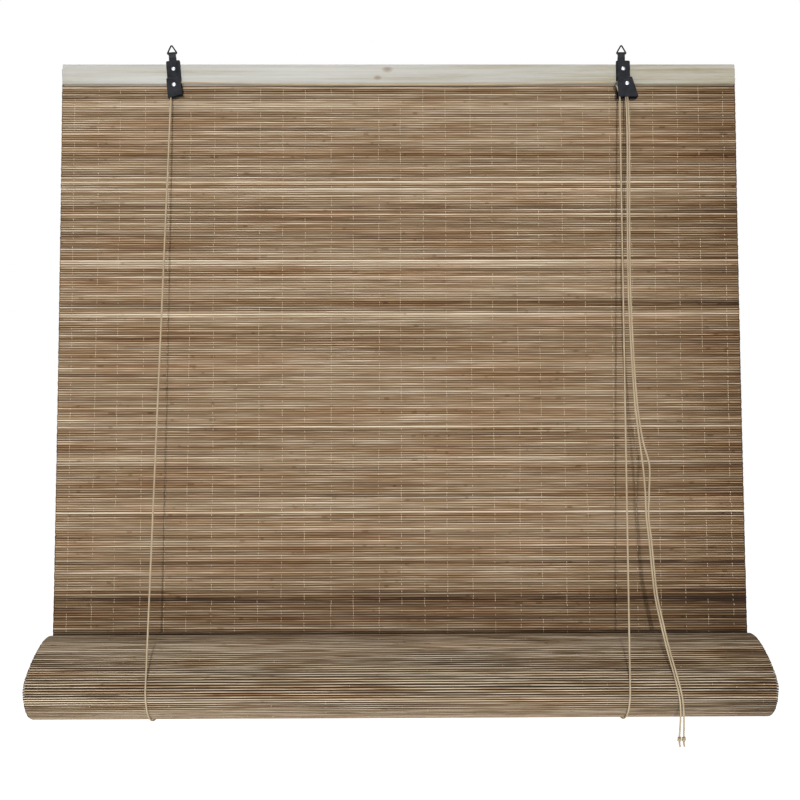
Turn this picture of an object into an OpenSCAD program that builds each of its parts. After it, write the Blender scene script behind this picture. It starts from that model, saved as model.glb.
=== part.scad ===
// Bamboo roll up blind, half rolled, hung by two wire rings.
// X runs along the headrail, -Y faces the room, +Z is up.
// The origin is the middle of the headrail's top face. Millimetres.

/* [Headrail] */
// Length of the wooden headrail
headrail_length = 892; // [800:1:1200]
// Depth of the headrail, front to back
headrail_depth = 9; // [8:0.5:14]
// Height of the headrail
headrail_height = 26; // [24:0.5:36]
// Planed edge on the headrail's long corners
headrail_chamfer = 0.8; // [0.2:0.1:2]

/* [Mat] */
// Width of the woven mat
mat_width = 900; // [800:1:1200]
// Height of one slat with its gap
slat_pitch = 3.1; // [2.8:0.1:3.4]
// Thickness of a slat, front to back
slat_thickness = 2.2; // [1.8:0.1:2.4]
// Thickness left between two slats, where the threads bind them
slat_web = 1; // [0.6:0.1:1.4]
// Slats that hang between headrail and roll
hanging_slats = 255; // [200:1:300]
// Slats wound into the roll
roll_slats = 265; // [160:1:280]
// How far the mat's lower end bows towards the room
mat_bow = 10; // [0:0.5:16]
// How far the mat's top edge lies below the headrail's top
mat_top_gap = 2; // [1:0.5:6]
// Height of an open gap between two slats
gap_height = 0.5; // [0.3:0.1:0.6]
// Slats from one open gap to the next
slats_to_a_gap = 3; // [2:1:6]
// Slats left closed below the headrail
closed_slats = 4; // [2:1:10]
// Closed edge left at both ends of a gap
gap_margin = 12; // [6:1:30]

/* [Roll] */
// Height of the roll's outermost turn, above and below its centre
roll_radius_z = 47.6; // [45:0.1:52]
// Depth of the roll's outermost turn, before and behind its centre
roll_radius_y = 44.8; // [42:0.1:48]
// How far the roll's upper front is drawn back, as a share of its depth
roll_lean = 0.8; // [0:0.05:0.85]
// How gently that sets in above the roll's foremost line
roll_nose = 0.15; // [0.05:0.05:0.3]
// How square the roll's upper back is
roll_corner = 0.12; // [0:0.02:0.14]
// Distance from one turn to the next
layer_pitch = 4.6; // [4:0.1:5]
// Height of the bottom rail inside the roll
bottom_rail_height = 24; // [18:1:28]
// Thickness of the bottom rail
bottom_rail_thickness = 8; // [5:0.5:12]

/* [Hangers] */
// Distance of the left hanger from the headrail's left end
left_hanger_inset = 147; // [90:1:240]
// Distance of the right hanger from the headrail's right end
right_hanger_inset = 149; // [90:1:240]
// Lean of the left hanger, its foot to the right
left_hanger_lean = 5; // [0:1:8]
// Thickness of the sheet steel
sheet = 1.2; // [1:0.1:1.5]
// Width of the plate on the headrail
plate_width = 18.6; // [18.6:0.1:22]
// How far the plate stands above the headrail
plate_rise = 4.5; // [3:0.5:5]
// Width of the front strap
strap_width = 9.6; // [9.2:0.1:10]
// Width of the fold round the ring
fold_width = 9; // [8.4:0.1:9.1]
// How far the right hanger's fold and ring sit to the left of its middle
fold_shift = 2.3; // [0:0.1:2.3]
// Height below the headrail's top where the front strap steps forward
joggle_drop = 17; // [16:0.5:19]
// Height that the step forward takes
joggle_height = 5; // [4:0.5:6]
// Depth of the hanger's foot below the headrail's top
foot_drop = 47.5; // [44:0.5:54]
// How much higher the right corner of the left hanger's foot is cut
foot_slant = 4; // [0:0.5:5]
// Radius of the plate's upper corners
plate_corner = 2; // [1:0.5:2]
// Width that the lock's cheek gains at its foot
lock_flare = 8; // [4:0.5:12]

/* [Rings] */
// Wire diameter of a hanging ring
ring_wire = 1.9; // [1.6:0.1:2]
// Length of the ring's straight side, between wire centres
ring_base = 13.6; // [13.4:0.1:15]
// Height of the ring's tip above its straight side, between wire centres
ring_rise = 12; // [11:0.1:13]
// Height of the ring's straight side above the headrail's top
ring_z = 13; // [11:0.5:16]
// Bend radius of the wire at the ring's corners
ring_bend = 1.2; // [1:0.1:1.3]

/* [Pulleys and lock] */
// Radius at which the cord runs round a pulley
pulley_run = 4.4; // [4.4:0.1:4.6]
// Outer radius of a pulley
pulley_radius = 5; // [4.8:0.1:5.2]
// Thickness of a pulley's rims
pulley_rim = 0.35; // [0.3:0.05:0.5]
// Width of a pulley
pulley_width = 4; // [3.8:0.1:4.6]
// Radius of the axle pins
axle_radius = 1.5; // [1.2:0.1:1.6]
// Height of the pulley axles below the headrail's top
axle_drop = 30; // [29:0.5:33]
// How far the lock's pulley axle lies left of the hanger's middle
lock_axle_offset = 6.5; // [6:0.1:7]
// Radius of the lock cam, to the tips of its teeth
cam_radius = 3.3; // [3:0.1:3.4]
// Number of teeth on the cam's gripping side
cam_teeth = 7; // [5:1:9]
// Depth of a tooth on the cam
tooth_depth = 0.35; // [0.2:0.05:0.5]
// How much lower the cam's back is than its gripping side
cam_drop = 0.8; // [0.4:0.1:1]

/* [Fasteners] */
// Height of the fixing screws below the headrail's top
screw_drop = 7; // [5:0.5:10]
// Radius of the screws' shanks
screw_radius = 1.5; // [1.2:0.1:2]
// Radius of the domed heads of screws and rivets
head_radius = 2.7; // [2.4:0.1:3.2]
// Height of the domed heads
head_height = 1.5; // [1:0.1:2]
// Length of a screw below its head
screw_length = 10; // [8:0.5:11]
// Number of staples that hold the mat
mat_staple_count = 11; // [7:1:15]
// Width of a staple
staple_width = 10; // [8:0.5:12]
// Thickness of a staple's wire
staple_wire = 0.7; // [0.5:0.1:1]
// Length of a staple's legs
staple_leg = 9; // [7:0.5:10]
// Distance of the outermost staples from the headrail's ends
staple_margin = 20; // [10:1:40]
// How far the staples of the cords sit below those of the mat
cord_staple_drop = 4; // [3:0.5:6]

/* [Cords] */
// Diameter of the cords
cord = 2.2; // [1.8:0.1:2.3]
// How far the left lift cord crosses the roll to the left of its hanger
left_cord_shift = 5; // [0:1:30]
// How far the right lift cord crosses the roll to the left of its hanger
right_cord_shift = 25; // [0:1:40]
// How far the right lift cord comes in from its pulley's side to the hanger's foot
foot_lead = 3.9; // [0:0.1:4]
// Sag of the cord between the two hangers
cross_sag = 3.5; // [1:0.5:5]
// Radius of the knots that end the pull cords
knot_radius = 2.4; // [2:0.1:2.6]
// Length of the knots that end the pull cords
knot_length = 6; // [5:0.5:8]

/* [Hidden] */
$fn = 48;
// Gaps: between pieces that stay together, that move past each other, and round a turning pin
seat_gap = 0.05;
run_gap = 0.3;
pin_gap = 0.06;

cord_radius = cord / 2;
left_hanger_x = left_hanger_inset - headrail_length / 2;
right_hanger_x = headrail_length / 2 - right_hanger_inset;
left_cord_x = left_hanger_x - left_cord_shift;
right_cord_x = right_hanger_x - right_cord_shift;
mat_y = headrail_depth / 2 + slat_thickness / 2 + seat_gap;
hang_length = hanging_slats * slat_pitch;
mat_length = hang_length + roll_slats * slat_pitch;
flat_length = headrail_height - mat_top_gap;
roll_z = -mat_top_gap - hang_length;
roll_y = mat_y - mat_bow - roll_radius_y;

front_y = -headrail_depth / 2;
plate_y = front_y - sheet;
strap_y = plate_y - seat_gap - sheet / 2;
strap_face_y = strap_y - sheet / 2;
rear_pulley_y = plate_y - run_gap - pulley_width / 2;
front_pulley_y = rear_pulley_y - pulley_width - run_gap;
left_cheek_y = rear_pulley_y - pulley_width / 2 - run_gap;
lock_cheek_y = front_pulley_y - pulley_width / 2 - run_gap;
fold_radius = ring_wire / 2 + pin_gap;
ring_y = plate_y - fold_radius;

lock_axle_x = right_hanger_x - lock_axle_offset;
cam_x = lock_axle_x + pulley_run + cord_radius + run_gap + cam_radius;
cam_y = (plate_y + lock_cheek_y) / 2;
cam_width = plate_y - lock_cheek_y - 2 * run_gap;
cord_run = slat_thickness / 2 + run_gap + cord_radius;
back_cord_y = mat_y + cord_run;
staple_z = -headrail_height / 2;
left_axle_x = left_hanger_x + (axle_drop - screw_drop) * sin(left_hanger_lean);
left_axle_z = -screw_drop - (axle_drop - screw_drop) * cos(left_hanger_lean);

// Route of the pull cords' middle line below the lock, chosen by hand: distance from the right hanger's
// middle, share of the way from the lock out to the roll's front, height
pull_start_y = (rear_pulley_y + front_pulley_y) / 2 - 1;
pull_front_y = roll_point(180, cord_run)[0];
pull_route = [for (point = [
    [3, 0, -50], [1.5, 0.12, -119], [-2.5, 0.25, -216], [-5, 0.36, -308], [-4.5, 0.44, -379],
    [-2.5, 0.52, -449], [2, 0.57, -497], [7, 0.61, -529], [7, 0.65, -561], [6, 0.69, -593],
    [8, 0.73, -621], [11, 0.83, -681], [16, 0.89, -715], [22.5, 0.96, -750], [28.5, 1, -775],
    [34, 1, -797], [36.5, 1, -815], [36.5, 1, -833], [35.5, 1, -850]
]) [right_hanger_x + point[0], pull_start_y + point[1] * (pull_front_y - pull_start_y), point[2]]];
// How far the front cord stands to the right of the rear one at each point of that route
pull_spread = [2.6, 2.7, 2.7, 2.7, 2.7, 2.8, 4, 8, 5, 2.8, 2.8, 2.8, 2.9, 3, 3, 3.2, 3.4, 4.2, 5.2];
rear_pull_route = [for (i = [0 : len(pull_route) - 1]) pull_route[i] - [pull_spread[i] / 2, 0, 0]];
front_pull_route = [for (i = [0 : len(pull_route) - 1]) pull_route[i] + [pull_spread[i] / 2, 0, 0]];

// Middle line of the mat at length s below its top edge, as [y, z]
function bow_at(s) = mat_bow * pow(max(0, s - flat_length) / (hang_length - flat_length), 2);

// Spiral of the roll, its upper front drawn back towards the mat and its upper back squared off
function roll_point(angle, outward) =
    let (
        inset = layer_pitch * angle / 360 - outward,
        rise = max(0, -sin(angle)),
        back = max(0, cos(angle)),
        lean = roll_lean * rise * rise / (rise + roll_nose) * (1 - back * back),
        square = 1 + roll_corner * pow(2 * rise * back, 2)
    )
    [
        roll_y + (roll_radius_y - inset) * (cos(angle) + lean),
        roll_z - (roll_radius_z - inset) * square * sin(angle)
    ];

// Angle of the spiral at a length of wound mat, from pairs of length and angle
wound_step = 4;
wound = [
    for (
        angle = 0, length = 0;
        angle <= 1800;
        length = length + norm(roll_point(angle + wound_step, 0) - roll_point(angle, 0)),
        angle = angle + wound_step
    ) [length, angle]
];
function roll_angle(u) = lookup(u, wound);

function mat_point(s) =
    s <= hang_length
        ? [mat_y - bow_at(s), -mat_top_gap - s]
        : roll_point(roll_angle(s - hang_length), 0);

// Direction across the mat, away from the room where it hangs and outwards in the roll
function mat_across(s) =
    let (run = mat_point(s + slat_pitch / 4) - mat_point(s - slat_pitch / 4))
    [-run[1], run[0]] / norm(run);

// Edge of a run of slats: the valley before each slat, then its shoulders at shares of its height
function slat_edge(first, last, side, shoulders) = [
    for (i = [first : last - 1]) for (share = concat([0], shoulders))
        let (s = max((i + share) * slat_pitch, first == 0 ? 0 : first * slat_pitch + run_gap))
        mat_point(s) + side * (share == 0 ? slat_web : slat_thickness) / 2 * mat_across(s),
    mat_point(last * slat_pitch) + side * slat_web / 2 * mat_across(last * slat_pitch)
];
flat_slat = [0.22, 0.78];
split_slat = [0.5];
plain_slat = [];

function backwards(list) = [for (i = [len(list) - 1 : -1 : 0]) list[i]];

// Outline of a strip of even thickness that follows a line
function left_of(v) = [-v[1], v[0]] / norm(v);
function corner(line, i) =
    let (
        before = left_of(i > 0 ? line[i] - line[i - 1] : line[1] - line[0]),
        after = left_of(i < len(line) - 1 ? line[i + 1] - line[i] : line[i] - line[i - 1]),
        middle = (before + after) / norm(before + after)
    ) middle / (middle * before);
function strip(line, thickness) = concat(
    [for (i = [0 : len(line) - 1]) line[i] + corner(line, i) * thickness / 2],
    [for (i = [len(line) - 1 : -1 : 0]) line[i] - corner(line, i) * thickness / 2]
);

// Swept tube with eight sides
module tube(route, radius, side_axis) {
    sides = 8;
    rings = len(route);
    points = [
        for (i = [0 : rings - 1])
            let (
                run = route[min(i + 1, rings - 1)] - route[max(i - 1, 0)],
                u = cross(run, side_axis) / norm(cross(run, side_axis)),
                v = cross(run, u) / norm(run)
            )
            for (k = [0 : sides - 1])
                route[i] + radius * (cos(360 * k / sides) * u + sin(360 * k / sides) * v)
    ];
    walls = [
        for (i = [0 : rings - 2]) for (k = [0 : sides - 1])
            let (a = i * sides + k, b = i * sides + (k + 1) % sides)
            each [[a, b, b + sides], [a, b + sides, a + sides]]
    ];
    start_cap = [for (k = [sides - 1 : -1 : 0]) k];
    end_cap = [for (k = [0 : sides - 1]) (rings - 1) * sides + k];
    polyhedron(points, concat([start_cap], walls, [end_cap]));
}

// Extrusions of a [y, z] outline along X, centred, and of an [x, z] outline from y back to front
module along_x(length) rotate([90, 0, 90]) linear_extrude(length, center = true) children();
module towards_room(from_y, depth)
    translate([0, from_y, 0]) rotate([90, 0, 0]) linear_extrude(depth) children();
module pin_along_y(from_y, length, radius)
    translate([0, from_y, 0]) rotate([90, 0, 0]) cylinder(length, r = radius);

module at_left_hanger()
    translate([left_hanger_x, 0, -screw_drop]) rotate([0, -left_hanger_lean, 0])
        translate([0, 0, screw_drop]) children();
module at_right_hanger() translate([right_hanger_x, 0, 0]) children();

module headrail() color("wheat") along_x(headrail_length) {
    c = headrail_chamfer;
    d = headrail_depth / 2;
    h = headrail_height;
    polygon([[-d, c - h], [c - d, -h], [d - c, -h], [d, c - h], [d, -c], [d - c, 0], [c - d, 0], [-d, -c]]);
}

// A run of slats, one wall with a ridge for each slat on both faces: flat on one side, split on the other
module slat_wall(first, last, back, front) along_x(mat_width)
    polygon(concat(slat_edge(first, last, 1, back), backwards(slat_edge(first, last, -1, front))));

module mat_hanging() color("peru") difference() {
    slat_wall(0, hanging_slats, split_slat, flat_slat);
    first_gap = ceil(flat_length / slat_pitch) + closed_slats;
    for (i = [first_gap : slats_to_a_gap : hanging_slats - 2]) {
        middle = mat_point(i * slat_pitch);
        translate([0, middle[0], middle[1]])
            cube([mat_width - 2 * gap_margin, 2 * slat_thickness, gap_height], center = true);
    }
}

module mat_roll() color("tan") slat_wall(hanging_slats, hanging_slats + roll_slats, flat_slat, plain_slat);

// Lath at the mat's inner end, lying across the lowest part of the innermost turn
module bottom_rail() color("burlywood") {
    half = bottom_rail_height / 2;
    reach = asin(half / roll_radius_y) + layer_pitch;
    turns = floor((roll_angle(mat_length - hang_length) - 90 + 2 * reach) / 360);
    inset = layer_pitch * (turns + (90 + 2 * reach) / 360) + slat_web / 2 + run_gap;
    low = roll_z - (roll_radius_z - inset) * sqrt(1 - pow(half / (roll_radius_y - inset), 2));
    along_x(mat_width) translate([roll_y - half, low]) square([bottom_rail_height, bottom_rail_thickness]);
}

// Plate behind the hanger, on the headrail's front face
module hanger_plate(shift, slant) {
    c = plate_corner;
    p = plate_width / 2;
    n = strap_width / 2;
    f = fold_width / 2;
    neck = ring_z - 2 * ring_wire;
    shoulder = plate_rise - c;
    towards_room(front_y, sheet) polygon([
        [-p, -foot_drop], [p, slant - foot_drop],
        for (a = [0 : 30 : 90]) [p - c + c * cos(a), shoulder + c * sin(a)],
        [n - shift, plate_rise], [n - shift, neck - 1], [f - shift, neck], [f - shift, ring_z],
        [-f - shift, ring_z], [-f - shift, neck], [-n - shift, neck - 1], [-n - shift, plate_rise],
        for (a = [90 : 30 : 180]) [c - p + c * cos(a), shoulder + c * sin(a)]
    ]);
}

// Strap that folds over the ring, comes down in front and steps forward over the pulley
module hanger_strap(cheek_y, flare, shift, slant) {
    n = strap_width / 2;
    p = plate_width / 2;
    f = fold_width / 2;
    neck = ring_z - 2 * ring_wire;
    mid = fold_radius + sheet / 2;
    foot_y = cheek_y - sheet / 2;
    fold = [for (a = [0 : 20 : 180]) [ring_y + mid * cos(a), ring_z + mid * sin(a)]];
    line = concat(fold, [
        [ring_y - mid, ring_z - ring_wire / 2], [strap_y, neck - 1], [strap_y, -joggle_drop],
        [foot_y, -joggle_drop - joggle_height], [foot_y, -foot_drop]
    ]);
    top = ring_z + 2 * mid;
    intersection() {
        along_x(4 * plate_width) polygon(strip(line, sheet));
        towards_room(0, headrail_depth * 3) polygon([
            [-f - shift, top], [-f - shift, neck], [-n - shift, neck - 1], [-n - shift, 2 - joggle_drop],
            [-p, -joggle_drop - joggle_height], [-p, -foot_drop], [p + flare, slant - foot_drop],
            [p, -joggle_drop - joggle_height], [n - shift, 2 - joggle_drop], [n - shift, neck - 1],
            [f - shift, neck], [f - shift, top]
        ]);
    }
}

module left_bracket() color("#202124") at_left_hanger() difference() {
    union() {
        hanger_plate(0, foot_slant);
        hanger_strap(left_cheek_y, 0, 0, foot_slant);
    }
    translate([0, 0, -screw_drop]) pin_along_y(0, headrail_depth * 2, screw_radius + pin_gap);
    translate([0, 0, -axle_drop]) pin_along_y(0, headrail_depth * 2, axle_radius + seat_gap);
}

// Side wall that closes the lock's housing on the right
module lock_side_wall() {
    p = plate_width / 2;
    top = -joggle_drop - joggle_height;
    towards_room(plate_y, plate_y - lock_cheek_y) polygon([
        [p - sheet, top], [p, top], [p + lock_flare, -foot_drop], [p + lock_flare - sheet, -foot_drop]
    ]);
    towards_room(front_y, sheet) polygon([
        [p - sheet, top], [p, top], [p + lock_flare, -foot_drop], [p - sheet, -foot_drop]
    ]);
}

module right_bracket() color("#202124") difference() {
    at_right_hanger() union() {
        hanger_plate(fold_shift, 0);
        hanger_strap(lock_cheek_y, lock_flare, fold_shift, 0);
        lock_side_wall();
    }
    translate([right_hanger_x, 0, -screw_drop]) pin_along_y(0, headrail_depth * 2, screw_radius + pin_gap);
    for (x = [lock_axle_x, cam_x])
        translate([x, 0, -axle_drop]) pin_along_y(0, headrail_depth * 2, axle_radius + seat_gap);
}

// Triangle of bent wire whose straight side turns in the strap's fold
module ring() translate([0, ring_y, ring_z]) rotate([90, 0, 0]) {
    corners = [[-ring_base / 2, 0], [ring_base / 2, 0], [0, ring_rise]];
    lap = 3;
    for (i = [0 : 2]) {
        here = corners[i];
        next = (corners[(i + 1) % 3] - here) / norm(corners[(i + 1) % 3] - here);
        last = (corners[(i + 2) % 3] - here) / norm(corners[(i + 2) % 3] - here);
        half = acos(next * last) / 2;
        cut = ring_bend / tan(half);
        far_half = acos((corners[(i + 2) % 3] - corners[(i + 1) % 3])
            * -next / norm(corners[(i + 2) % 3] - corners[(i + 1) % 3])) / 2;
        side = norm(corners[(i + 1) % 3] - here) - cut - ring_bend / tan(far_half);
        heading = atan2(next[1], next[0]);
        translate(here + cut * next) rotate([0, 0, heading]) rotate([0, 90, 0]) cylinder(side, d = ring_wire);
        translate(here + ring_bend / sin(half) * (next + last) / norm(next + last))
            rotate([0, 0, heading + 90 + 2 * half - lap]) rotate_extrude(angle = 180 - 2 * half + 2 * lap)
                translate([ring_bend, 0]) circle(d = ring_wire + seat_gap);
    }
}
module left_ring() color("#26272a") at_left_hanger() ring();
module right_ring() color("#26272a") at_right_hanger() translate([-fold_shift, 0, 0]) ring();

// Domed head that stands on a face
module dome(face_y) translate([0, face_y, 0]) rotate([90, 0, 0]) {
    bulge = (head_radius * head_radius + head_height * head_height) / (2 * head_height);
    intersection() {
        translate([0, 0, head_height - bulge]) sphere(bulge);
        cylinder(head_height, r = head_radius);
    }
}
module fixing_screw() translate([0, 0, -screw_drop]) {
    face = strap_face_y - seat_gap;
    dome(face);
    pin_along_y(face + screw_length, screw_length, screw_radius);
}
module left_fixing_screw() color("silver") at_left_hanger() fixing_screw();
module right_fixing_screw() color("silver") at_right_hanger() fixing_screw();

module rivet(cheek_y) {
    face = cheek_y - sheet - seat_gap;
    dome(face);
    pin_along_y(front_y - seat_gap, front_y - seat_gap - face, axle_radius);
}
module left_axle_rivet() color("silver") at_left_hanger() translate([0, 0, -axle_drop]) rivet(left_cheek_y);
module lock_cam_rivet() color("silver") translate([cam_x, 0, -axle_drop]) rivet(lock_cheek_y);
module lock_axle_pin() color("#26272a") translate([lock_axle_x, 0, -axle_drop])
    pin_along_y(front_y - seat_gap, front_y - seat_gap - lock_cheek_y + sheet, axle_radius);

// Grooved wheel that turns on an axle along Y
module pulley() rotate([90, 0, 0]) rotate_extrude() {
    bore = axle_radius + pin_gap;
    floor_radius = pulley_run - cord_radius - run_gap;
    w = pulley_width / 2;
    mouth = w - pulley_rim;
    bed = cord_radius;
    polygon([
        [bore, -w], [pulley_radius, -w], [pulley_radius, -mouth], [floor_radius, -bed],
        [floor_radius, bed], [pulley_radius, mouth], [pulley_radius, w], [bore, w]
    ]);
}
module left_pulley() color("#3a3a3c") at_left_hanger() translate([0, rear_pulley_y, -axle_drop]) pulley();
module lock_pulley_rear() color("#3a3a3c") translate([lock_axle_x, rear_pulley_y, -axle_drop]) pulley();
module lock_pulley_front() color("#3a3a3c") translate([lock_axle_x, front_pulley_y, -axle_drop]) pulley();

// Toothed eccentric that nips the cords against the pulleys
module lock_cam() color("#8a8c90")
    translate([cam_x, cam_y + cam_width / 2, -axle_drop]) towards_room(0, cam_width) difference() {
    step = 90 / cam_teeth;
    back = cam_radius - cam_drop;
    polygon([
        for (k = [0 : cam_teeth - 1]) for (valley = [0, 1])
            let (
                angle = 135 + (k + valley / 2) * step,
                reach = cam_radius - cam_drop * max(0, angle - 180) / 45 - valley * tooth_depth
            ) reach * [cos(angle), sin(angle)],
        for (angle = [225 : 18 : 477]) back * [cos(angle), sin(angle)]
    ]);
    circle(axle_radius + pin_gap);
}

// Flat-crowned staple driven from behind, its crown's inner side at crown_y
module staple(crown_y, width, leg) {
    w = staple_wire;
    translate([-width / 2, crown_y, -w / 2]) cube([width, w, w]);
    for (x = [-width / 2, width / 2 - w]) translate([x, crown_y - leg, -w / 2]) cube([w, leg, w]);
}
module mat_staples() color("silver") {
    reach = headrail_length - 2 * staple_margin;
    for (i = [0 : mat_staple_count - 1])
        translate([(i / (mat_staple_count - 1) - 0.5) * reach, 0, staple_z])
            staple(mat_y + slat_thickness / 2 + seat_gap, staple_width, staple_leg);
}
module cord_staples() color("silver")
    for (x = [left_hanger_x, lock_axle_x - pulley_run])
        translate([x, 0, staple_z - cord_staple_drop])
            staple(back_cord_y + cord_radius + seat_gap, cord + 4 * staple_wire, staple_leg + cord);

// Cord from the headrail's back, down behind the mat, under the roll and up by a hanger's foot to a pulley
function lift_route(top_x, roll_x, foot_point, pulley_point) =
    let (
        stretch = hang_length - flat_length,
        front = roll_point(180, cord_run),
        leaves = [roll_x, front[0], front[1]]
    )
    concat(
        [[top_x, back_cord_y, staple_z]],
        [for (f = [0, 0.25, 0.5, 0.75]) let (s = flat_length + f * stretch)
            [top_x + f * (roll_x - top_x), back_cord_y - bow_at(s), -mat_top_gap - s]],
        [for (a = [0 : 10 : 180]) let (p = roll_point(a, cord_run)) [roll_x, p[0], p[1]]],
        [for (f = [0.35, 0.7]) (1 - f) * leaves + f * foot_point],
        [foot_point, pulley_point]
    );
left_pulley_point = [left_axle_x - pulley_run, rear_pulley_y, left_axle_z];
left_foot_point = [left_axle_x - pulley_run, left_cheek_y + cord_radius + seat_gap, -foot_drop];
right_pulley_point = [lock_axle_x - pulley_run, front_pulley_y, -axle_drop];
right_foot_point = [
    lock_axle_x - pulley_run + foot_lead, lock_cheek_y + cord_radius + seat_gap, -foot_drop
];

// Quarter or half turn over a pulley, from angle a to angle b
function over_pulley(x, y, z, a, b) = [
    for (k = [0 : 1 : abs(a - b) / 30]) let (angle = a + sign(b - a) * 30 * k)
        [x + pulley_run * cos(angle), y, z + pulley_run * sin(angle)]
];

module left_lift_cord() color("tan")
    tube(lift_route(left_hanger_x, left_cord_x, left_foot_point, left_pulley_point),
        cord_radius, [1, 0, 0]);
module right_lift_cord() color("tan")
    tube(lift_route(lock_axle_x - pulley_run, right_cord_x, right_foot_point, right_pulley_point),
        cord_radius, [1, 0, 0]);

module cross_cord() color("tan") {
    from_x = left_axle_x;
    to_x = lock_axle_x;
    from_z = left_axle_z + pulley_run;
    to_z = pulley_run - axle_drop;
    span = [for (f = [0.12 : 0.095 : 0.9]) [
        from_x + f * (to_x - from_x),
        rear_pulley_y,
        from_z + f * (to_z - from_z) - 4 * cross_sag * f * (1 - f)
    ]];
    tube(concat(
        over_pulley(left_axle_x, rear_pulley_y, left_axle_z, 150, 90), span,
        over_pulley(lock_axle_x, rear_pulley_y, -axle_drop, 90, 0)
    ), cord_radius, [0, 1, 0]);
}
module pull_cord_rear() color("tan") tube(concat(
    [[lock_axle_x + pulley_run, rear_pulley_y, -axle_drop - run_gap]], rear_pull_route
), cord_radius, [0, 1, 0]);
module pull_cord_front() color("tan") tube(concat(
    over_pulley(lock_axle_x, front_pulley_y, -axle_drop, 150, 0), front_pull_route
), cord_radius, [0, 1, 0]);

// Barrel of a stopper knot below a cord's end
module end_knot(route) {
    r = knot_radius;
    l = knot_length;
    translate(route[len(route) - 1] - [0, 0, l + run_gap]) rotate_extrude()
        polygon([
            [0, 0], [r * 0.6, 0], [r * 0.92, l * 0.18], [r, l * 0.5],
            [r * 0.92, l * 0.82], [r * 0.6, l], [0, l]
        ]);
}
module rear_end_knot() color("tan") end_knot(rear_pull_route);
module front_end_knot() color("tan") end_knot(front_pull_route);

headrail();
mat_hanging();
mat_roll();
bottom_rail();
left_bracket();
right_bracket();
left_ring();
right_ring();
left_fixing_screw();
right_fixing_screw();
left_axle_rivet();
lock_axle_pin();
lock_cam_rivet();
left_pulley();
lock_pulley_rear();
lock_pulley_front();
lock_cam();
mat_staples();
cord_staples();
left_lift_cord();
right_lift_cord();
cross_cord();
pull_cord_rear();
pull_cord_front();
rear_end_knot();
front_end_knot();
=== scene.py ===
"""Bamboo roll up blind, half rolled: its looks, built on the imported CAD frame.

Metres. X runs along the headrail, -Y faces the room, +Z is up.
"""
import math

import bpy
import numpy as np
from mathutils import Matrix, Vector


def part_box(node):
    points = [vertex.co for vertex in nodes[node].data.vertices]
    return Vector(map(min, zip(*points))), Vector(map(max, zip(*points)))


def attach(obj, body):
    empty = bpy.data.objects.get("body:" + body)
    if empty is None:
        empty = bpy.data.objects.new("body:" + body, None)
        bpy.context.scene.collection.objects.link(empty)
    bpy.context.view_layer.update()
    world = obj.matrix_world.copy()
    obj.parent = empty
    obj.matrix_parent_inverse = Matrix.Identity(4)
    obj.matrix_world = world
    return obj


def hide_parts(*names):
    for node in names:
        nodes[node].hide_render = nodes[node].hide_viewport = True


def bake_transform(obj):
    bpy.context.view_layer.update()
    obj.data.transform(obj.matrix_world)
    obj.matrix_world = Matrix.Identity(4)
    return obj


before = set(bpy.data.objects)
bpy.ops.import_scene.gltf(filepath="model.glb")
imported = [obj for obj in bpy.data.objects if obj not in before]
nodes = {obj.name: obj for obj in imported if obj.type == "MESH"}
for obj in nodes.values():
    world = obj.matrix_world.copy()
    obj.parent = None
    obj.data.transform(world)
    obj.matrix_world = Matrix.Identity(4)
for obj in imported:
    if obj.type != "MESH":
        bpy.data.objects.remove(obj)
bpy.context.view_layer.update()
MM = 0.001

# The mat's run, the same driving sizes as in the part's source
MAT_WIDTH = 900 * MM
SLAT_PITCH = 3.1 * MM
SLAT_THICKNESS = 2.2 * MM
HANGING_SLATS = 255
ROLL_SLATS = 265
OUTER_TURN_SLATS = 96
MAT_BOW = 10 * MM
TURN_PITCH = 4.6 * MM
ROLL_RADIUS_Y = 44.8 * MM
ROLL_RADIUS_Z = 47.6 * MM
ROLL_LEAN = 0.8
ROLL_NOSE = 0.15
ROLL_CORNER = 0.12
SEAT_GAP = 0.05 * MM
RUN_GAP = 0.3 * MM

RAIL_LOW, RAIL_HIGH = (np.array(corner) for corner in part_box("headrail"))
MAT_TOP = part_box("mat_hanging")[1][2]
MAT_Y = RAIL_HIGH[1] + SEAT_GAP + SLAT_THICKNESS / 2
HANG_LENGTH = HANGING_SLATS * SLAT_PITCH
FLAT_LENGTH = MAT_TOP - RAIL_LOW[2]
ROLL_Z = MAT_TOP - HANG_LENGTH
ROLL_Y = MAT_Y - MAT_BOW - ROLL_RADIUS_Y

# How the hanging mat is parted into bands: free slats at the top, then the slats of each band
FREE_TOP_SLAT = 8
BAND_SLATS = (26, 42, 111, 42, 26)

# Cords
CORD_RADIUS = 1.1 * MM
CORD_LAY = 7.5 * MM
CORD_STEP = 1.1 * MM
CORD_SIDES = 12
CORD_RUN = SLAT_THICKNESS / 2 + RUN_GAP + CORD_RADIUS
PULLEY_RUN = 4.4 * MM
LEFT_AXLE, LOCK_AXLE, FRONT_AXLE = (
    np.mean(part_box(name), axis=0) for name in ("left_pulley", "lock_pulley_rear", "lock_pulley_front")
)
STAPLE_Z = RAIL_LOW[2] / 2
LEFT_TOP_X = -299 * MM
LEFT_ROLL_X = -304 * MM
RIGHT_ROLL_X = 272 * MM
CROSS_SAG = 3.5 * MM
KNOT_TURNS = 2.6
FOOT_Z = -47.5 * MM
LEFT_FOOT_Y = -9.15 * MM
LOCK_FOOT_Y = -13.45 * MM
FOOT_LEAD = 3.9 * MM
PLIES = 3
PLY_RADIUS = 0.92
PLY_SWELL = 0.11
CURVE_STEPS = 40
PULLEY_STEP = 15
LIFT_POINTS = 30
UNDER_STEP = 6
CROSS_SHARES = np.linspace(0.12, 0.88, 9)
KNOT_POINTS = 25
KNOT_TAIL_X = np.array([0.2, 0.0, 0.2, 0.6]) * MM
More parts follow.
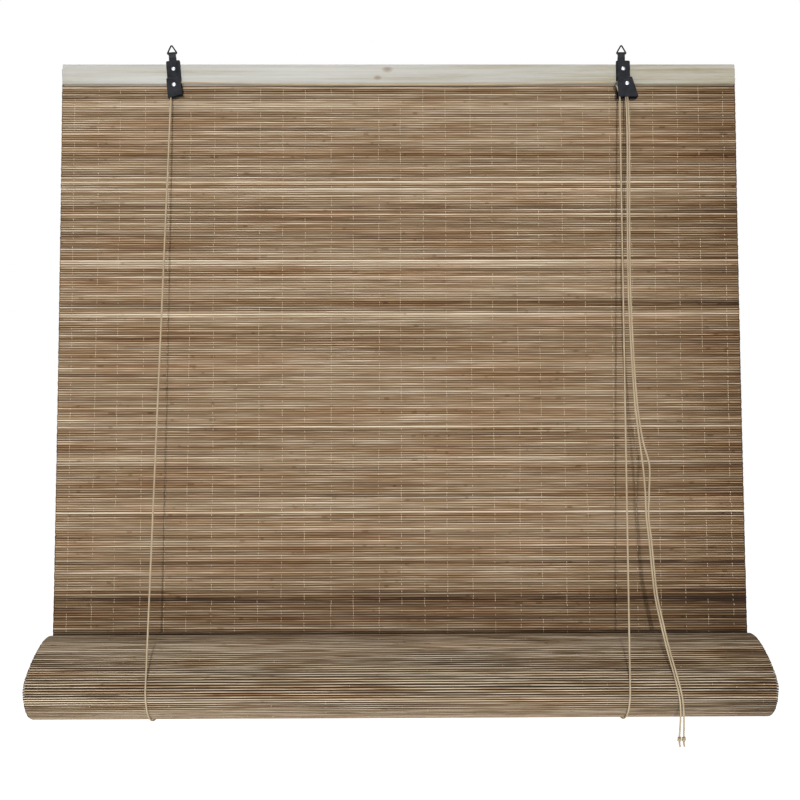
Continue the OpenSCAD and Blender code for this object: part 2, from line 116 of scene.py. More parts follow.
KNOT_TAIL_Z = np.array([0.6, -1.5, -3.5, -6.0]) * MM

# Pull cords below the lock: x, share of the way out to the roll's front, z; then how far apart they are
PULL_COURSE = np.array([
    [300, 0, -50], [298.5, 0.12, -119], [294.5, 0.25, -216], [292, 0.36, -308], [292.5, 0.44, -379],
    [294.5, 0.52, -449], [299, 0.57, -497], [304, 0.61, -529], [304, 0.65, -561], [303, 0.69, -593],
    [305, 0.73, -621], [308, 0.83, -681], [313, 0.89, -715], [319.5, 0.96, -750], [325.5, 1, -775],
    [331, 1, -797], [333.5, 1, -815], [333.5, 1, -833], [332.5, 1, -850],
])
PULL_SPREAD = MM * np.array(
    [2.6, 2.7, 2.7, 2.7, 2.7, 2.8, 4, 8, 5, 2.8, 2.8, 2.8, 2.9, 3, 3, 3.2, 3.4, 4.2, 5.2]
)


def from_screen(red, green, blue):
    """A colour given as it shows on a screen, 0 to 255, as the linear colour that Blender reads."""
    share = np.array([red, green, blue]) / 255
    linear = np.where(share <= 0.04045, share / 12.92, ((share + 0.055) / 1.055) ** 2.4)
    return (*linear.tolist(), 1.0)


# Meshes


def put_mesh(name, points, polygons, smooth=False):
    """A mesh object from an array of points and arrays of polygons, each array with one corner count."""
    corners = np.concatenate([block.ravel() for block in polygons]).astype(np.int32)
    counts = np.concatenate([np.full(len(block), block.shape[1]) for block in polygons])
    starts = np.concatenate([[0], np.cumsum(counts)[:-1]]).astype(np.int32)
    mesh = bpy.data.meshes.new(name)
    mesh.vertices.add(len(points))
    mesh.vertices.foreach_set("co", np.ascontiguousarray(points, dtype=np.float32).ravel())
    mesh.loops.add(len(corners))
    mesh.loops.foreach_set("vertex_index", corners)
    mesh.polygons.add(len(counts))
    mesh.polygons.foreach_set("loop_start", starts)
    mesh.polygons.foreach_set("use_smooth", np.full(len(counts), smooth))
    mesh.update(calc_edges=True)
    mesh.validate()
    piece = bpy.data.objects.new(name, mesh)
    bpy.context.scene.collection.objects.link(piece)
    return piece


def give_uv(piece, across, along):
    """A UV map named run, from two numbers for each point."""
    mesh = piece.data
    corner = np.empty(len(mesh.loops), dtype=np.int32)
    mesh.loops.foreach_get("vertex_index", corner)
    pairs = np.stack([across[corner], along[corner]], axis=1).astype(np.float32)
    mesh.uv_layers.new(name="run").data.foreach_set("uv", pairs.ravel())


def give_number(piece, name, values):
    """A named number on each point."""
    layer = piece.data.attributes.new(name, "FLOAT", "POINT")
    layer.data.foreach_set("value", values.astype(np.float32))


def grid_quads(rows, columns, closed):
    """Quads of a grid of points, row by row; closed joins the last column to the first."""
    row = np.arange(rows - 1)[:, None]
    column = np.arange(columns if closed else columns - 1)[None, :]
    following = (column + 1) % columns
    here = row * columns
    below = here + columns
    quads = np.stack([here + column, here + following, below + following, below + column], axis=2)
    return quads.reshape(-1, 4)


# The mat


def bow(run):
    """How far the mat comes forward: it grows with the square of the share of the free height."""
    return MAT_BOW * (np.maximum(0, run - FLAT_LENGTH) / (HANG_LENGTH - FLAT_LENGTH)) ** 2


def roll_point(angle, outward=0.0):
    """Point of the spiral: radii shrink by one pitch a turn, upper front drawn back, upper back squared."""
    inset = TURN_PITCH * angle / (2 * math.pi) - outward
    rise = np.maximum(0, -np.sin(angle))
    back = np.maximum(0, np.cos(angle))
    lean = ROLL_LEAN * rise ** 2 / (rise + ROLL_NOSE) * (1 - back ** 2)
    square = 1 + ROLL_CORNER * (2 * rise * back) ** 2
    return np.stack([
        ROLL_Y + (ROLL_RADIUS_Y - inset) * (np.cos(angle) + lean),
        ROLL_Z - (ROLL_RADIUS_Z - inset) * square * np.sin(angle),
    ], axis=-1)


# Angles between which the spiral's length is measured, over five turns
SPIRAL_ANGLES = np.radians(np.arange(0, 1801, 4))


def roll_angle(run):
    """Angle at which a length of mat ends on the spiral, from the spiral's own length."""
    steps = np.linalg.norm(np.diff(roll_point(SPIRAL_ANGLES), axis=0), axis=1)
    return np.interp(run, np.concatenate([[0], np.cumsum(steps)]), SPIRAL_ANGLES)


def mat_point(run):
    """The mat's middle line as y and z: it hangs in a bow, and winds up into the roll from behind."""
    run = np.asarray(run, dtype=float)
    hanging = np.stack([MAT_Y - bow(run), MAT_TOP - run], axis=-1)
    rolled = roll_point(roll_angle(np.maximum(0, run - HANG_LENGTH)))
    return np.where((run <= HANG_LENGTH)[..., None], hanging, rolled)


def mat_directions(run):
    """Unit directions along the mat's run and across its thickness, from points either side."""
    step = mat_point(run + SLAT_PITCH / 4) - mat_point(run - SLAT_PITCH / 4)
    along = step / np.linalg.norm(step, axis=-1, keepdims=True)
    across = np.stack([-along[..., 1], along[..., 0]], axis=-1)
    return along, across


# A slat's section as shares of half its thickness and half its height; then the darkening at each point,
# stain and painted shade of the grooves at the slat's edges
SLAT_SECTION = np.array([
    [-1.0, -0.60], [-0.25, -1.0], [0.10, -1.0], [1.0, -0.48],
    [1.0, 0.48], [0.10, 1.0], [-0.25, 1.0], [-1.0, 0.60],
])
EDGE_STAIN_AND_SHADE = np.array([0.0, 0.25, 0.25, 0.0, 0.0, 0.25, 0.25, 0.0])
# Heights of the slats as shares of their pitch: close in the hanging mat, parted round the roll
CLOSE_SLATS = (1.02, 1.08)
PARTED_SLATS = (0.80, 0.92)
# How much stronger the edge darkening, stain and painted shade, is round the roll
PARTED_EDGE_STAIN_AND_SHADE = 1.6
SLAT_STATIONS = 7
# How far a slat's ends stand short or proud in millimetres, and how unevenly slats are cut and laid
END_SPREAD = (-0.25, 0.2)
HEIGHT_SPREAD = (1.0, 1.04)
THICKNESS_SPREAD = (0.80, 1.0)
SWAY_ALONG = 0.06 * MM
SWAY_ACROSS = 0.07 * MM

# Tone of the slats, from 0 for dark to 1 for pale
TONE_MIDDLE = 0.455
TONE_SWING = 0.075
TONE_DRIFT = 0.04
PALE_SLATS = 0.10
PALE_LIFT = (0.06, 0.18)
# Painted shade: the slats darken toward the mat's right end, standing in for light that falls off there;
# from which share along the slats, and how much
RIGHT_SHADE_FROM = 0.80
RIGHT_END_SHADE = 0.18
# Painted shade: the slats darken toward the mat's foot, above the roll
FOOT_SHADE = 0.05
BAND_STRENGTH = 0.55
# Runs of slats that stand out in tone: height of the first below the mat's top, how many, and how much; all
# are stain, save the last, which is painted shade above the roll
STAIN_AND_SHADE_BANDS = (
    (0.057, 2, 0.10), (0.087, 1, 0.20), (0.121, 2, -0.10), (0.163, 1, 0.22), (0.200, 3, -0.12),
    (0.257, 1, 0.42), (0.263, 1, 0.34), (0.278, 1, 0.38), (0.294, 1, 0.34), (0.329, 1, 0.42),
    (0.362, 4, -0.12), (0.400, 1, 0.20), (0.435, 3, -0.14), (0.478, 1, 0.42), (0.517, 1, 0.36),
    (0.550, 3, -0.10), (0.590, 1, 0.20), (0.636, 2, -0.12), (0.680, 1, 0.16), (0.689, 16, -0.26),
    # The last run, the 13 lowest slats, is painted shade above the roll
    (0.699, 6, -0.24), (0.742, 13, -0.20),
)


def slat_tones(first, last, along_share, dice):
    """Tone of each slat at each station: its own, the chosen bands, a slow drift along the slat, and
    painted shade toward the right end and the foot.
    """
    count = last - first
    own = dice.normal(0, TONE_SWING, count)
    own += np.where(dice.random(count) < PALE_SLATS, dice.uniform(*PALE_LIFT, count), 0)
    for height, many, change in STAIN_AND_SHADE_BANDS:
        start = round(height / SLAT_PITCH) - first
        own[max(0, start):max(0, start + many)] += BAND_STRENGTH * change
    drift = dice.normal(0, TONE_DRIFT, (count, len(along_share)))
    # Painted shade toward the right end, for light falling off there
    right_end = -RIGHT_END_SHADE * np.clip((along_share - RIGHT_SHADE_FROM) / (1 - RIGHT_SHADE_FROM), 0, 1)
    # Painted shade toward the foot of the mat
    lower = -FOOT_SHADE * np.minimum(1, np.arange(first, last) / HANGING_SLATS)
    return TONE_MIDDLE + (own + lower)[:, None] + drift + right_end


def slats(name, first, last, seed, height_range, edge_stain_and_shade=1.0):
    """Separate slats: a blunt strip section carried along X through stations that wander a little."""
    dice = np.random.default_rng(seed)
    count = last - first
    run = (np.arange(first, last) + 0.5) * SLAT_PITCH
    middle = mat_point(run)
    along, across = mat_directions(run)
    share = np.linspace(0, 1, SLAT_STATIONS)
    ends = dice.uniform(*END_SPREAD, (count, 2)) * MM
    left = -MAT_WIDTH / 2 - ends[:, 0]
    right = MAT_WIDTH / 2 + ends[:, 1]
    x = left[:, None] + (right - left)[:, None] * share
    half_height = SLAT_PITCH / 2 * dice.uniform(*height_range, (count, 1))
    half_height = half_height * dice.uniform(*HEIGHT_SPREAD, (count, SLAT_STATIONS))
    half_thick = SLAT_THICKNESS / 2 * dice.uniform(*THICKNESS_SPREAD, (count, 1))
    sway_along = dice.normal(0, SWAY_ALONG, (count, SLAT_STATIONS))
    sway_across = dice.normal(0, SWAY_ACROSS, (count, SLAT_STATIONS))
    out = SLAT_SECTION[:, 0] * half_thick[..., None] + sway_across[..., None]
    down = SLAT_SECTION[:, 1] * half_height[..., None] + sway_along[..., None]
    flat = (
        middle[:, None, None, :]
        + out[..., None] * across[:, None, None, :]
        + down[..., None] * along[:, None, None, :]
    )
    points = np.concatenate([np.broadcast_to(x[:, :, None, None], flat.shape[:3] + (1,)), flat], axis=-1)
    sides = len(SLAT_SECTION)
    each = SLAT_STATIONS * sides
    offset = (np.arange(count) * each)[:, None, None]
    quads = (offset + grid_quads(SLAT_STATIONS, sides, True)[None]).reshape(-1, 4)
    left_end = (offset[:, 0] + np.arange(sides)[::-1]).reshape(-1, sides)
    right_end = (offset[:, 0] + each - sides + np.arange(sides)).reshape(-1, sides)
    piece = put_mesh(name, points.reshape(-1, 3), [quads, left_end, right_end])
    tones = slat_tones(first, last, share, dice)
    # Darker edges: stain, and painted shade where the slats meet
    give_number(piece, "tone", (tones[..., None] - edge_stain_and_shade * EDGE_STAIN_AND_SHADE).ravel())
    give_uv(piece, points[..., 0].ravel(), (run[:, None, None] + down).ravel())
    return piece


# Threads: columns of loops, each a ribbon of three lines of points round one slat
THREAD_COLUMNS = 29
THREAD_WIDTH = 0.6 * MM
THREAD_PROUD = 0.16 * MM
THREAD_EDGE = 18 * MM
THREAD_LANES = np.array([-0.5, 0.0, 0.5])
LANE_PROUD = np.array([-0.3, 1.0, -0.3]) * THREAD_PROUD
THREAD_SLANT = 0.45
THREAD_SUNK = 0.4 * MM
COLUMN_SPREAD = 1.2 * MM
THREAD_WANDER = 0.10 * MM
THREAD_JITTER = 0.12 * MM
# A thread's loop round one slat, as shares of half its thickness and half the slat pitch
LOOP_SECTION = np.array([[-1.0, -0.62], [0.0, -1.0], [1.0, -0.62], [1.0, 0.62], [0.0, 1.0], [-1.0, 0.62]])


def threads(name, first, last, seed, hidden, reach=1.0):
    """Bindings: round each slat, in each column, a loop of thread, a share of them sunk out of sight."""
    dice = np.random.default_rng(seed)
    count = last - first
    run = (np.arange(first, last) + 0.5) * SLAT_PITCH
    middle = mat_point(run)
    along, across = mat_directions(run)
    column = np.linspace(-MAT_WIDTH / 2 + THREAD_EDGE, MAT_WIDTH / 2 - THREAD_EDGE, THREAD_COLUMNS)
    column = column + dice.normal(0, COLUMN_SPREAD, THREAD_COLUMNS)
    wander = np.cumsum(dice.normal(0, THREAD_WANDER, (count, THREAD_COLUMNS)), axis=0)
    x = column + wander - wander.mean(axis=0) + dice.normal(0, THREAD_JITTER, (count, THREAD_COLUMNS))
    sunk = np.where(dice.random((count, THREAD_COLUMNS)) < hidden, THREAD_SUNK, 0)
    rings, lanes = len(LOOP_SECTION), len(THREAD_LANES)
    out = LOOP_SECTION[:, None, 0] * (SLAT_THICKNESS / 2 + LANE_PROUD - sunk[:, :, None, None])
    down = LOOP_SECTION[:, None, 1] * np.full(lanes, reach * SLAT_PITCH / 2)
    shift = THREAD_WIDTH * (THREAD_LANES + THREAD_SLANT * LOOP_SECTION[:, None, 1])
    flat = (
        middle[:, None, None, None, :]
        + out[..., None] * across[:, None, None, None, :]
        + down[..., None] * along[:, None, None, None, :]
    )
    points = np.empty(out.shape + (3,))
    points[..., 0] = x[:, :, None, None] + shift
    points[..., 1:] = flat
    ring = np.arange(rings)[:, None] * lanes
    after = (np.arange(rings)[:, None] + 1) % rings * lanes
    lane = np.arange(lanes - 1)[None, :]
    quad = np.stack([ring + lane, ring + lane + 1, after + lane + 1, after + lane], axis=2)
    start = np.arange(count * THREAD_COLUMNS)[:, None, None] * rings * lanes
    quads = (start + quad.reshape(1, -1, 4)).reshape(-1, 4)
    return put_mesh(name, points.reshape(-1, 3), [quads[:, ::-1]], smooth=True)


# Cords


def smooth_route(points, step):
    """A smooth curve through the points, cubic between neighbours, then stepped evenly along its length."""
    points = np.asarray(points, dtype=float)
    padded = np.concatenate([[2 * points[0] - points[1]], points, [2 * points[-1] - points[-2]]])
    share = np.linspace(0, 1, CURVE_STEPS, endpoint=False)[:, None, None]
    before, here, after, beyond = padded[:-3], padded[1:-2], padded[2:-1], padded[3:]
    curve = 0.5 * (
        2 * here
        + (after - before) * share
        + (2 * before - 5 * here + 4 * after - beyond) * share ** 2
        + (3 * here - before - 3 * after + beyond) * share ** 3
    )
    curve = np.concatenate([curve.transpose(1, 0, 2).reshape(-1, 3), points[-1:]])
    length = np.concatenate([[0], np.cumsum(np.linalg.norm(np.diff(curve, axis=0), axis=1))])
    even = np.linspace(0, length[-1], max(2, round(length[-1] / step)) + 1)
    return np.stack([np.interp(even, length, curve[:, k]) for k in range(3)], axis=1)


def twisted_cord(name, route, side_axis, start=0.0):
    """Three plies: a ring round each station that swells three times and turns once in each cord lay."""
    run = np.gradient(route, axis=0)
    run /= np.linalg.norm(run, axis=1, keepdims=True)
    side = np.cross(run, side_axis)
    side /= np.linalg.norm(side, axis=1, keepdims=True)
    other = np.cross(run, side)
    length = start + np.concatenate([[0], np.cumsum(np.linalg.norm(np.diff(route, axis=0), axis=1))])
    turn = np.arange(CORD_SIDES) * 2 * math.pi / CORD_SIDES
    swell = np.cos(PLIES * (turn[None, :] - 2 * math.pi * length[:, None] / CORD_LAY))
    radius = CORD_RADIUS * (PLY_RADIUS + PLY_SWELL * swell)
    points = (
        route[:, None, :]
        + radius[..., None] * np.cos(turn)[None, :, None] * side[:, None, :]
        + radius[..., None] * np.sin(turn)[None, :, None] * other[:, None, :]
    )
    rows = len(route)
    quads = grid_quads(rows, CORD_SIDES, True)
    first_end = np.arange(CORD_SIDES)[None, ::-1]
    last_end = (rows - 1) * CORD_SIDES + np.arange(CORD_SIDES)[None, :]
    piece = put_mesh(name, points.reshape(-1, 3), [quads, first_end, last_end], smooth=True)
    give_number(piece, "ply", (0.5 + 0.5 * swell).ravel())
    give_uv(piece, np.tile(turn / (2 * math.pi), rows), np.repeat(length, CORD_SIDES))
    return piece


def over_pulley(axle, start, end):
    """Points on a pulley's cord circle, from one angle to another in degrees."""
    angle = np.radians(np.arange(start, end - 1, -PULLEY_STEP))
    return axle + PULLEY_RUN * np.stack([np.cos(angle), np.zeros(len(angle)), np.sin(angle)], axis=1)


def band_heights():
    """Heights that part the bands of the hanging mat, from the headrail's lower edge down."""
    count = FREE_TOP_SLAT + np.concatenate([[0], np.cumsum(BAND_SLATS)])
    return MAT_TOP - count * SLAT_PITCH


def stretch(piece):
    """The piece's placement, baked into its mesh."""
    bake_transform(piece)


# Finishes


def add(tree, kind, inputs=None, **settings):
    """A node with its settings; an input is a number, a colour or another node's output."""
    made = tree.nodes.new(kind)
    for key, value in settings.items():
        setattr(made, key, value)
    for key, value in (inputs or {}).items():
        if isinstance(value, bpy.types.NodeSocket):
            tree.links.new(value, made.inputs[key])
        else:
            made.inputs[key].default_value = value
    return made


def finish(name, roughness, metallic=0.0, specular=0.5):
    """A material with one shader; returns the material, its tree and the shader."""
    made = bpy.data.materials.new(name)
    made.use_nodes = True
    tree = made.node_tree
    shader = tree.nodes["Principled BSDF"]
    shader.inputs["Roughness"].default_value = roughness
    shader.inputs["Metallic"].default_value = metallic
    shader.inputs["Specular IOR Level"].default_value = specular
    return made, tree, shader


def noise(tree, place, scale, detail=2.0, rough=0.5):
    """A noise pattern over a place, stretched by its scale along each axis."""
    mapped = add(tree, "ShaderNodeMapping", {"Vector": place, "Scale": scale})
    inputs = {"Vector": mapped.outputs["Vector"], "Scale": 1.0, "Detail": detail, "Roughness": rough}
    return add(tree, "ShaderNodeTexNoise", inputs).outputs["Fac"]


def ramp(tree, value, stops):
    """Colours along a value, from pairs of place and screen colour."""
    made = add(tree, "ShaderNodeValToRGB", {"Fac": value})
    band = made.color_ramp.elements
    while len(band) < len(stops):
        band.new(0.5)
    for element, (place, colour) in zip(band, stops):
        element.position = place
        element.color = from_screen(*colour)
    return made.outputs["Color"]


def calc(tree, operation, first, second=0.0):
    """Arithmetic on two values."""
    return add(tree, "ShaderNodeMath", {0: first, 1: second}, operation=operation).outputs["Value"]


def spread(tree, value, low, high, at_low, at_high):
    """A value taken from one range to another, held at both ends."""
    inputs = {0: value, 1: low, 2: high, 3: at_low, 4: at_high}
    return add(tree, "ShaderNodeMapRange", inputs).outputs["Result"]


def swing(tree, value, size):
    """A pattern's swing about its middle, times a size."""
    return calc(tree, "MULTIPLY", calc(tree, "SUBTRACT", value, 0.5), size)


def blend_of(tree, first, first_share, second, second_share):
    """Two patterns added up, each by its share."""
    first_part = calc(tree, "MULTIPLY", first, first_share)
    return calc(tree, "ADD", first_part, calc(tree, "MULTIPLY", second, second_share))


def paint(tree, shader, colour):
    """A colour on the shader."""
    tree.links.new(colour, shader.inputs["Base Color"])


def bump(tree, shader, height, distance):
    """Relief of a pattern, in metres, on the shader."""
    made = add(tree, "ShaderNodeBump", {"Height": height, "Distance": distance, "Strength": 1.0})
    tree.links.new(made.outputs["Normal"], shader.inputs["Normal"])


def run_place(tree):
    """Place along and across a slat or a cord, from its UV map."""
    return add(tree, "ShaderNodeUVMap", uv_map="run").outputs["UV"]


def object_place(tree):
    """Place in the piece itself."""
    return add(tree, "ShaderNodeTexCoord").outputs["Object"]


# Bamboo: stops of the stain on the front and on the roll, as place and screen colour; the roll's stops are
# darker, painted shade on the roll
FRONT_STAIN = (
    (0.00, (44, 30, 18)), (0.22, (96, 73, 49)), (0.45, (133, 111, 85)),
    (0.68, (167, 149, 126)), (0.95, (209, 195, 173)),
)
BACK_STAIN_SHADED = (
    (0.00, (38, 28, 18)), (0.22, (87, 70, 50)), (0.45, (126, 105, 80)),
    (0.68, (159, 141, 116)), (0.95, (201, 187, 165)),
)
RUDDY = (1.0, 0.86, 0.76, 1.0)
BAMBOO_ROUGHNESS = 0.6
BAMBOO_SPECULAR = 0.12
FIBRE_RELIEF = 0.15 * MM
# Scales of the bamboo's patterns, along the slats and across them
STREAK_SCALE = (3.5, 640.0, 1.0)
FIBRE_SCALE = (38.0, 5200.0, 1.0)
PATCH_SCALE = (4.2, 34.0, 1.0)
# Scales of the patterns that differ from slat to slat
JOINT_SCALE = (75.0, 3.3, 1.0)
HIGHLIGHT_SCALE = (9.0, 3.7, 1.0)
BREAK_SCALE = (13.0, 5.3, 1.0)
GROOVE_SCALE = (11.0, 7.9, 1.0)
# How much the patterns lighten or darken the tone, and between which of their values
FIBRE_SWING = 0.40
PATCH_SWING = 0.12
RUDDY_RANGE = (0.48, 0.66)
RUDDY_SHARE = 0.55
JOINT_RANGE = (0.74, 0.82)
JOINT_STAIN = 0.12
# A painted highlight: a thin pale line on each slat's upper part; its height, swing and width
HIGHLIGHT_HEIGHT = 0.36
HIGHLIGHT_SWING = 0.9
HIGHLIGHT_EDGE = (0.06, 0.20)
BREAK_RANGE = (0.44, 0.62)
# GROOVE_RANGE and GROOVE_EDGE shape the painted shade at the slats' edges
GROOVE_RANGE = (0.36, 0.62)
GROOVE_EDGE = (0.04, 0.20)
# How far the slats are darker from their cut ends, and how much
CUT_REACH = 1.6 * MM
CUT_STAIN = 0.35


def bamboo_finish(name, stops, highlight_line, groove_shade, even, streaks):
    """Stained split bamboo: each slat's tone, a broken pale line that is a painted highlight, edges
    darkened as painted shade of the grooves, streaks, fibres, joints.
    """
    made, tree, shader = finish(name, BAMBOO_ROUGHNESS, specular=BAMBOO_SPECULAR)
    place = run_place(tree)
    tone = add(tree, "ShaderNodeAttribute", attribute_name="tone").outputs["Fac"]
    run = add(tree, "ShaderNodeSeparateXYZ", {0: place})
    slat = calc(tree, "DIVIDE", run.outputs["Y"], SLAT_PITCH)
    share = calc(tree, "FRACT", slat)
    by_slat = {"X": run.outputs["X"], "Y": calc(tree, "FLOOR", slat)}
    own = add(tree, "ShaderNodeCombineXYZ", by_slat).outputs["Vector"]
    streak = noise(tree, place, STREAK_SCALE, 3.0, 0.6)
    fibre = noise(tree, place, FIBRE_SCALE, 2.0, 0.6)
    patch = noise(tree, place, PATCH_SCALE)
    joint = noise(tree, own, JOINT_SCALE, 0.0)
    # Painted highlight: a broken pale line across each slat's upper part
    height = calc(tree, "ADD", swing(tree, noise(tree, own, HIGHLIGHT_SCALE, 1.0), HIGHLIGHT_SWING), HIGHLIGHT_HEIGHT)
    off_highlight = calc(tree, "ABSOLUTE", calc(tree, "SUBTRACT", share, height))
    break_low = BREAK_RANGE[0] - 0.2 * even
    break_high = BREAK_RANGE[1] - 0.1 * even
    broken = spread(tree, noise(tree, own, BREAK_SCALE), break_low, break_high, 0.0, highlight_line)
    pale = calc(tree, "MULTIPLY", spread(tree, off_highlight, *HIGHLIGHT_EDGE, 1.0, 0.0), broken)
    # Painted shade: each slat darkens toward its edges, where the grooves between slats are, by an amount
    # that differs from slat to slat
    to_edge = calc(tree, "SUBTRACT", 0.5, calc(tree, "ABSOLUTE", calc(tree, "SUBTRACT", share, 0.5)))
    uneven = spread(tree, noise(tree, own, GROOVE_SCALE), *GROOVE_RANGE, even * groove_shade, groove_shade)
    painted_groove_shade = calc(tree, "MULTIPLY", spread(tree, to_edge, *GROOVE_EDGE, 1.0, 0.0), uneven)
    to_end = calc(tree, "SUBTRACT", MAT_WIDTH / 2, calc(tree, "ABSOLUTE", run.outputs["X"]))
    total = tone
    for lighter in (swing(tree, streak, streaks), swing(tree, fibre, FIBRE_SWING), pale):
        total = calc(tree, "ADD", total, lighter)
    joints = spread(tree, joint, *JOINT_RANGE, 0.0, JOINT_STAIN)
    cut = spread(tree, to_end, 0.0, CUT_REACH, CUT_STAIN, 0.0)
    for darker in (swing(tree, patch, PATCH_SWING), painted_groove_shade, joints, cut):
        total = calc(tree, "SUBTRACT", total, darker)
    ruddy = spread(tree, patch, *RUDDY_RANGE, 0.0, RUDDY_SHARE)
    colours = {"Factor": ruddy, 6: ramp(tree, total, stops), 7: RUDDY}
    stained = add(tree, "ShaderNodeMix", colours, data_type="RGBA", blend_type="MULTIPLY")
    paint(tree, shader, stained.outputs[2])
    bump(tree, shader, fibre, FIBRE_RELIEF)
    return made


CORD_COLOURS = ((0.0, (100, 84, 63)), (0.45, (168, 151, 124)), (0.95, (200, 185, 158)))


def cord_finish():
    """Twisted cord: painted shade between the plies, with fine fibres along each ply."""
    made, tree, shader = finish("tan_cord", 0.8, specular=0.2)
    place = run_place(tree)
    ply = add(tree, "ShaderNodeAttribute", attribute_name="ply").outputs["Fac"]
    fibre = noise(tree, place, (40.0, 900.0, 1.0), 2.0, 0.6)
    wear = noise(tree, place, (0.5, 22.0, 1.0))
    # Painted shade: the cord darkens between its plies
    total = calc(tree, "ADD", blend_of(tree, ply, 0.55, fibre, 0.35), swing(tree, wear, 0.5))
    paint(tree, shader, ramp(tree, total, CORD_COLOURS))
    bump(tree, shader, fibre, 0.12 * MM)
    return made


PINE_COLOURS = (
    (0.16, (134, 125, 100)), (0.30, (155, 149, 132)),
    (0.46, (168, 166, 158)), (0.60, (176, 175, 169)),
    (0.80, (186, 186, 182)),
)
# How far along the headrail it darkens to the right, and how much: painted shade, for light falling off
# toward the right end
PINE_RIGHT_SHADE = (-0.1, 0.45, 0.0, 0.22)
# Knots of the headrail: place along it, height, half length; their flatness and colour
KNOTS = ((-16.0 * MM, -7.0 * MM, 7.0 * MM), (-29.0 * MM, -18.0 * MM, 5.0 * MM))
KNOT_FLAT = 0.55
KNOT_COLOUR = from_screen(112, 86, 58)


def pine_finish():
    """Planed pale pine: long grain along X, two soft knots, fine pores, a little grey."""
    made, tree, shader = finish("planed_pine", 0.6, specular=0.3)
    place = object_place(tree)
    grain = noise(tree, place, (5.0, 190.0, 190.0), 4.0, 0.62)
    pores = noise(tree, place, (70.0, 2600.0, 2600.0), 2.0, 0.6)
    cloud = noise(tree, place, (3.0, 30.0, 30.0))
    total = calc(tree, "ADD", blend_of(tree, grain, 0.75, pores, 0.25), swing(tree, cloud, 0.5))
    to_right = add(tree, "ShaderNodeSeparateXYZ", {0: place}).outputs["X"]
    # Painted shade: the headrail darkens toward its right end, as light falls off there
    total = calc(tree, "SUBTRACT", total, spread(tree, to_right, *PINE_RIGHT_SHADE))
    wood = ramp(tree, total, PINE_COLOURS)
    for x, z, size in KNOTS:
        tall = KNOT_FLAT * size
        away = add(tree, "ShaderNodeMapping", {
            "Vector": place,
            "Location": (-x / size, 0.0, -z / tall),
            "Scale": (1 / size, 0.0, 1 / tall),
        }).outputs["Vector"]
        distance = add(tree, "ShaderNodeVectorMath", {0: away}, operation="LENGTH").outputs["Value"]
        uneven = calc(tree, "ADD", distance, swing(tree, grain, 0.9))
        cover = spread(tree, uneven, 0.35, 1.25, 0.55, 0.0)
        mixed = add(tree, "ShaderNodeMix", {"Factor": cover, 6: wood, 7: KNOT_COLOUR}, data_type="RGBA")
        wood = mixed.outputs[2]
    paint(tree, shader, wood)
    bump(tree, shader, pores, 0.10 * MM)
    return made


def painted_steel_finish():
    """Black stoved paint on steel: slight orange peel and dusty, duller clouds."""
    made, tree, shader = finish("black_painted_steel", 0.42, specular=0.2)
    place = object_place(tree)
    peel = noise(tree, place, (900.0, 900.0, 900.0))
    dust = noise(tree, place, (140.0, 140.0, 140.0), 3.0, 0.6)
    paint(tree, shader, ramp(tree, dust, ((0.35, (13, 15, 19)), (0.75, (27, 29, 35)))))
    tree.links.new(spread(tree, dust, 0.3, 0.7, 0.32, 0.55), shader.inputs["Roughness"])
    bump(tree, shader, peel, 0.05 * MM)
    return made


def mottled_finish(name, roughness, scale, detail, rough, stops, relief=None, **shine):
    """Colours over a noise that lies in the piece itself, with the noise as relief where one is given."""
    made, tree, shader = finish(name, roughness, **shine)
    mottle = noise(tree, object_place(tree), scale, detail, rough)
    paint(tree, shader, ramp(tree, mottle, stops))
    if relief:
        bump(tree, shader, mottle, relief)
    return made


THREAD_COLOURS = ((0.25, (150, 132, 106)), (0.7, (206, 192, 166)))
ZINC_COLOURS = ((0.3, (176, 178, 182)), (0.7, (214, 216, 219)))
PLASTIC_COLOURS = ((0.3, (46, 46, 48)), (0.7, (66, 66, 69)))
ZINC_SCALE = (1400.0, 1400.0, 1400.0)
PLASTIC_SCALE = (500.0, 500.0, 500.0)
bamboo = bamboo_finish(
    "stained_bamboo", FRONT_STAIN, highlight_line=0.34, groove_shade=0.46, even=0.1, streaks=0.60)
# The roll's finish: darker stops, and a stronger pale line and grooves, as painted shade and highlight on
# its turns
bamboo_back_shaded = bamboo_finish(
    "stained_bamboo_back_shaded", BACK_STAIN_SHADED, highlight_line=0.62, groove_shade=0.85, even=0.6, streaks=0.38)
thread = mottled_finish(
    "cream_thread", 0.85, (160.0, 160.0, 420.0), 2.0, 0.6, THREAD_COLOURS, specular=0.15)
tan_cord = cord_finish()
pine = pine_finish()
painted_steel = painted_steel_finish()
bright_steel = mottled_finish(
    "bright_zinc", 0.34, ZINC_SCALE, 2.0, 0.6, ZINC_COLOURS, 0.03 * MM, metallic=1.0)
moulded_plastic = mottled_finish(
    "black_moulded_plastic", 0.5, PLASTIC_SCALE, 3.0, 0.5, PLASTIC_COLOURS, 0.03 * MM)


def dress(piece, material):
    """One material on a piece."""
    piece.data.materials.clear()
    piece.data.materials.append(material)


for name in ("headrail", "bottom_rail"):
    dress(nodes[name], pine)
for name in ("left_bracket", "right_bracket", "left_ring", "right_ring", "lock_axle_pin"):
    dress(nodes[name], painted_steel)
for name in ("left_fixing_screw", "right_fixing_screw", "left_axle_rivet", "lock_cam_rivet", "lock_cam",
             "mat_staples", "cord_staples"):
    dress(nodes[name], bright_steel)
for name in ("left_pulley", "lock_pulley_rear", "lock_pulley_front"):
    dress(nodes[name], moulded_plastic)

# Seeds of the random draws, and the share of thread loops out of sight: hanging, then round the roll
HANGING_SEED = 140
ROLL_SEED = 210
THREAD_SEED = 9
HIDDEN_LOOPS = 0.45
ROLL_HIDDEN_LOOPS = 0.92
ROLL_LOOP_REACH = 0.7

